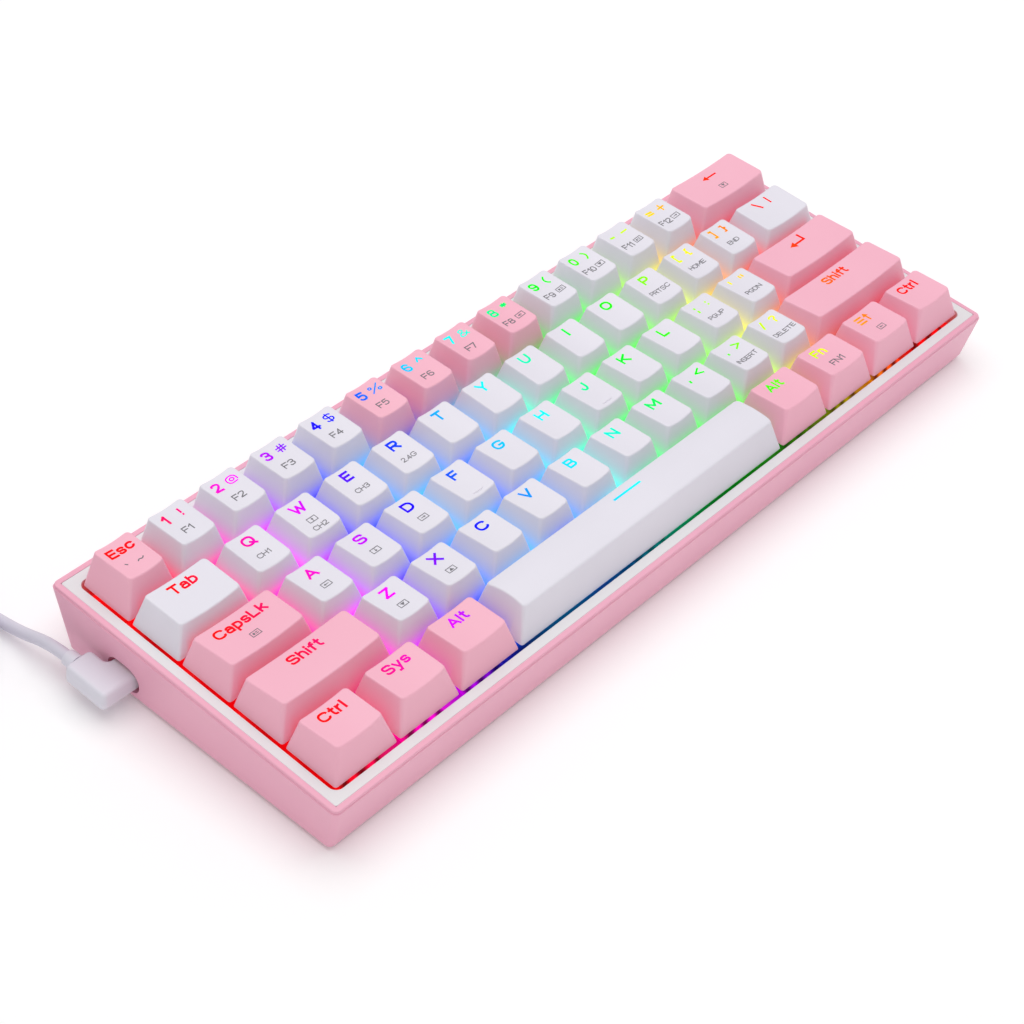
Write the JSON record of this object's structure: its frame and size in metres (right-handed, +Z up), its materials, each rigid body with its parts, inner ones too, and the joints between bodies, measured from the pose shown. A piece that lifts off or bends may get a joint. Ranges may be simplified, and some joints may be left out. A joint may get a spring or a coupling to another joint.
{
  "type": "mechanical keyboard",
  "caption": "Compact mechanical keyboard: sprung sculpted keycaps on a switch plate, in a framed two-piece case, with a right-angle detachable lead.",
  "frame": {"origin": "on the table, under the middle of the keyboard without its lead", "axes": "+X to the right along the key rows, +Y to the back, +Z up; the key deck slopes 3 degrees about X"},
  "size_m": [0.3735, 0.1644, 0.0342],
  "materials": {
    "pink_caps": "moulded ABS, fine matt texture, pink",
    "white_caps": "moulded ABS, fine matt texture, cool white",
    "pink_case": "moulded ABS, fine matt texture, pink",
    "white_frame": "moulded ABS, fine matt texture, white",
    "plate": "white powder coat on sheet steel",
    "board": "glass-epoxy laminate with black solder mask",
    "cell": "foil pouch",
    "port_shell": "pressed nickel-plated shell",
    "lead_moulding": "overmoulded soft PVC, pale grey-white, with a plated tongue",
    "lead_jacket": "extruded soft PVC, pale grey-white",
    "foot_rubber": "moulded rubber pad",
    "screw_steel": "zinc-plated steel",
    "switch_housing": "clear moulded polycarbonate top on a white base",
    "spring_steel": "drawn steel wire",
    "lamp": "clear lamp package",
    "guide_plastic": "moulded nylon"
  },
  "bodies": {
    "root": {"battery": "cell", "cable_coil": "lead_jacket", "case_screws": "screw_steel", "case_tray": "pink_case", "circuit_board": "board", "led_lamps": "lamp", "rubber_feet": "foot_rubber", "stabiliser_housings": "guide_plastic", "stabiliser_wires": "spring_steel", "switch_housings": "switch_housing", "switch_plate": "plate", "switch_springs": "spring_steel", "top_frame": "white_frame", "usb_a_plug": "lead_moulding", "usb_c_plug": "lead_moulding", "usb_cable": "lead_jacket", "usb_socket": "port_shell"},
    "key_a": {"key_a": "white_caps"},
    "key_b": {"key_b": "white_caps"},
    "key_backslash": {"key_backslash": "white_caps"},
    "key_backspace": {"key_backspace": "pink_caps"},
    "key_c": {"key_c": "white_caps"},
    "key_caps_lock": {"key_caps_lock": "pink_caps"},
    "key_d": {"key_d": "white_caps"},
    "key_e": {"key_e": "white_caps"},
    "key_enter": {"key_enter": "pink_caps"},
    "key_escape": {"key_escape": "pink_caps"},
    "key_f": {"key_f": "white_caps"},
    "key_function": {"key_function": "pink_caps"},
    "key_g": {"key_g": "white_caps"},
    "key_group_digits_symbols": {"key_group_digits_symbols": "white_caps"},
    "key_h": {"key_h": "white_caps"},
    "key_i": {"key_i": "white_caps"},
    "key_j": {"key_j": "white_caps"},
    "key_k": {"key_k": "white_caps"},
    "key_l": {"key_l": "white_caps"},
    "key_left_alt": {"key_left_alt": "pink_caps"},
    "key_left_control": {"key_left_control": "pink_caps"},
    "key_left_shift": {"key_left_shift": "pink_caps"},
    "key_m": {"key_m": "white_caps"},
    "key_menu": {"key_menu": "pink_caps"},
    "key_n": {"key_n": "white_caps"},
    "key_o": {"key_o": "white_caps"},
    "key_p": {"key_p": "white_caps"},
    "key_q": {"key_q": "white_caps"},
    "key_r": {"key_r": "white_caps"},
    "key_right_alt": {"key_right_alt": "pink_caps"},
    "key_right_control": {"key_right_control": "pink_caps"},
    "key_right_shift": {"key_right_shift": "pink_caps"},
    "key_s": {"key_s": "white_caps"},
    "key_space": {"key_space": "white_caps"},
    "key_system": {"key_system": "pink_caps"},
    "key_t": {"key_t": "white_caps"},
    "key_tab": {"key_tab": "white_caps"},
    "key_u": {"key_u": "white_caps"},
    "key_v": {"key_v": "white_caps"},
    "key_w": {"key_w": "white_caps"},
    "key_x": {"key_x": "white_caps"},
    "key_y": {"key_y": "white_caps"},
    "key_z": {"key_z": "white_caps"}
  },
  "joints": [
    {"name": "press_a", "type": "slide", "parent": "root", "child": "key_a", "axis": [0, 0.0523, -0.9986], "range_m": [0, 0.004], "stiffness_N_per_m": 62, "springref_m": -0.0056},
    {"name": "press_b", "type": "slide", "parent": "root", "child": "key_b", "axis": [0, 0.0523, -0.9986], "range_m": [0, 0.004], "stiffness_N_per_m": 62, "springref_m": -0.0056},
    {"name": "press_backslash", "type": "slide", "parent": "root", "child": "key_backslash", "axis": [0, 0.0523, -0.9986], "range_m": [0, 0.004], "stiffness_N_per_m": 62, "springref_m": -0.0056},
    {"name": "press_backspace", "type": "slide", "parent": "root", "child": "key_backspace", "axis": [0, 0.0523, -0.9986], "range_m": [0, 0.004], "stiffness_N_per_m": 62, "springref_m": -0.0056},
    {"name": "press_c", "type": "slide", "parent": "root", "child": "key_c", "axis": [0, 0.0523, -0.9986], "range_m": [0, 0.004], "stiffness_N_per_m": 62, "springref_m": -0.0056},
    {"name": "press_caps_lock", "type": "slide", "parent": "root", "child": "key_caps_lock", "axis": [0, 0.0523, -0.9986], "range_m": [0, 0.004], "stiffness_N_per_m": 62, "springref_m": -0.0056},
    {"name": "press_d", "type": "slide", "parent": "root", "child": "key_d", "axis": [0, 0.0523, -0.9986], "range_m": [0, 0.004], "stiffness_N_per_m": 62, "springref_m": -0.0056},
    {"name": "press_e", "type": "slide", "parent": "root", "child": "key_e", "axis": [0, 0.0523, -0.9986], "range_m": [0, 0.004], "stiffness_N_per_m": 62, "springref_m": -0.0056},
    {"name": "press_enter", "type": "slide", "parent": "root", "child": "key_enter", "axis": [0, 0.0523, -0.9986], "range_m": [0, 0.004], "stiffness_N_per_m": 62, "springref_m": -0.0056},
    {"name": "press_escape", "type": "slide", "parent": "root", "child": "key_escape", "axis": [0, 0.0523, -0.9986], "range_m": [0, 0.004], "stiffness_N_per_m": 62, "springref_m": -0.0056},
    {"name": "press_f", "type": "slide", "parent": "root", "child": "key_f", "axis": [0, 0.0523, -0.9986], "range_m": [0, 0.004], "stiffness_N_per_m": 62, "springref_m": -0.0056},
    {"name": "press_function", "type": "slide", "parent": "root", "child": "key_function", "axis": [0, 0.0523, -0.9986], "range_m": [0, 0.004], "stiffness_N_per_m": 62, "springref_m": -0.0056},
    {"name": "press_g", "type": "slide", "parent": "root", "child": "key_g", "axis": [0, 0.0523, -0.9986], "range_m": [0, 0.004], "stiffness_N_per_m": 62, "springref_m": -0.0056},
    {"name": "press_group_digits_symbols", "type": "slide", "parent": "root", "child": "key_group_digits_symbols", "axis": [0, 0.0523, -0.9986], "range_m": [0, 0.004], "stiffness_N_per_m": 1178, "springref_m": -0.0056},
    {"name": "press_h", "type": "slide", "parent": "root", "child": "key_h", "axis": [0, 0.0523, -0.9986], "range_m": [0, 0.004], "stiffness_N_per_m": 62, "springref_m": -0.0056},
    {"name": "press_i", "type": "slide", "parent": "root", "child": "key_i", "axis": [0, 0.0523, -0.9986], "range_m": [0, 0.004], "stiffness_N_per_m": 62, "springref_m": -0.0056},
    {"name": "press_j", "type": "slide", "parent": "root", "child": "key_j", "axis": [0, 0.0523, -0.9986], "range_m": [0, 0.004], "stiffness_N_per_m": 62, "springref_m": -0.0056},
    {"name": "press_k", "type": "slide", "parent": "root", "child": "key_k", "axis": [0, 0.0523, -0.9986], "range_m": [0, 0.004], "stiffness_N_per_m": 62, "springref_m": -0.0056},
    {"name": "press_l", "type": "slide", "parent": "root", "child": "key_l", "axis": [0, 0.0523, -0.9986], "range_m": [0, 0.004], "stiffness_N_per_m": 62, "springref_m": -0.0056},
    {"name": "press_left_alt", "type": "slide", "parent": "root", "child": "key_left_alt", "axis": [0, 0.0523, -0.9986], "range_m": [0, 0.004], "stiffness_N_per_m": 62, "springref_m": -0.0056},
    {"name": "press_left_control", "type": "slide", "parent": "root", "child": "key_left_control", "axis": [0, 0.0523, -0.9986], "range_m": [0, 0.004], "stiffness_N_per_m": 62, "springref_m": -0.0056},
    {"name": "press_left_shift", "type": "slide", "parent": "root", "child": "key_left_shift", "axis": [0, 0.0523, -0.9986], "range_m": [0, 0.004], "stiffness_N_per_m": 62, "springref_m": -0.0056},
    {"name": "press_m", "type": "slide", "parent": "root", "child": "key_m", "axis": [0, 0.0523, -0.9986], "range_m": [0, 0.004], "stiffness_N_per_m": 62, "springref_m": -0.0056},
    {"name": "press_menu", "type": "slide", "parent": "root", "child": "key_menu", "axis": [0, 0.0523, -0.9986], "range_m": [0, 0.004], "stiffness_N_per_m": 62, "springref_m": -0.0056},
    {"name": "press_n", "type": "slide", "parent": "root", "child": "key_n", "axis": [0, 0.0523, -0.9986], "range_m": [0, 0.004], "stiffness_N_per_m": 62, "springref_m": -0.0056},
    {"name": "press_o", "type": "slide", "parent": "root", "child": "key_o", "axis": [0, 0.0523, -0.9986], "range_m": [0, 0.004], "stiffness_N_per_m": 62, "springref_m": -0.0056},
    {"name": "press_p", "type": "slide", "parent": "root", "child": "key_p", "axis": [0, 0.0523, -0.9986], "range_m": [0, 0.004], "stiffness_N_per_m": 62, "springref_m": -0.0056},
    {"name": "press_q", "type": "slide", "parent": "root", "child": "key_q", "axis": [0, 0.0523, -0.9986], "range_m": [0, 0.004], "stiffness_N_per_m": 62, "springref_m": -0.0056},
    {"name": "press_r", "type": "slide", "parent": "root", "child": "key_r", "axis": [0, 0.0523, -0.9986], "range_m": [0, 0.004], "stiffness_N_per_m": 62, "springref_m": -0.0056},
    {"name": "press_right_alt", "type": "slide", "parent": "root", "child": "key_right_alt", "axis": [0, 0.0523, -0.9986], "range_m": [0, 0.004], "stiffness_N_per_m": 62, "springref_m": -0.0056},
    {"name": "press_right_control", "type": "slide", "parent": "root", "child": "key_right_control", "axis": [0, 0.0523, -0.9986], "range_m": [0, 0.004], "stiffness_N_per_m": 62, "springref_m": -0.0056},
    {"name": "press_right_shift", "type": "slide", "parent": "root", "child": "key_right_shift", "axis": [0, 0.0523, -0.9986], "range_m": [0, 0.004], "stiffness_N_per_m": 62, "springref_m": -0.0056},
    {"name": "press_s", "type": "slide", "parent": "root", "child": "key_s", "axis": [0, 0.0523, -0.9986], "range_m": [0, 0.004], "stiffness_N_per_m": 62, "springref_m": -0.0056},
    {"name": "press_space", "type": "slide", "parent": "root", "child": "key_space", "axis": [0, 0.0523, -0.9986], "range_m": [0, 0.004], "stiffness_N_per_m": 62, "springref_m": -0.0056, "deforming": ["switch_springs"]},
    {"name": "press_system", "type": "slide", "parent": "root", "child": "key_system", "axis": [0, 0.0523, -0.9986], "range_m": [0, 0.004], "stiffness_N_per_m": 62, "springref_m": -0.0056},
    {"name": "press_t", "type": "slide", "parent": "root", "child": "key_t", "axis": [0, 0.0523, -0.9986], "range_m": [0, 0.004], "stiffness_N_per_m": 62, "springref_m": -0.0056},
    {"name": "press_tab", "type": "slide", "parent": "root", "child": "key_tab", "axis": [0, 0.0523, -0.9986], "range_m": [0, 0.004], "stiffness_N_per_m": 62, "springref_m": -0.0056},
    {"name": "press_u", "type": "slide", "parent": "root", "child": "key_u", "axis": [0, 0.0523, -0.9986], "range_m": [0, 0.004], "stiffness_N_per_m": 62, "springref_m": -0.0056},
    {"name": "press_v", "type": "slide", "parent": "root", "child": "key_v", "axis": [0, 0.0523, -0.9986], "range_m": [0, 0.004], "stiffness_N_per_m": 62, "springref_m": -0.0056},
    {"name": "press_w", "type": "slide", "parent": "root", "child": "key_w", "axis": [0, 0.0523, -0.9986], "range_m": [0, 0.004], "stiffness_N_per_m": 62, "springref_m": -0.0056},
    {"name": "press_x", "type": "slide", "parent": "root", "child": "key_x", "axis": [0, 0.0523, -0.9986], "range_m": [0, 0.004], "stiffness_N_per_m": 62, "springref_m": -0.0056},
    {"name": "press_y", "type": "slide", "parent": "root", "child": "key_y", "axis": [0, 0.0523, -0.9986], "range_m": [0, 0.004], "stiffness_N_per_m": 62, "springref_m": -0.0056},
    {"name": "press_z", "type": "slide", "parent": "root", "child": "key_z", "axis": [0, 0.0523, -0.9986], "range_m": [0, 0.004], "stiffness_N_per_m": 62, "springref_m": -0.0056}
  ]
}
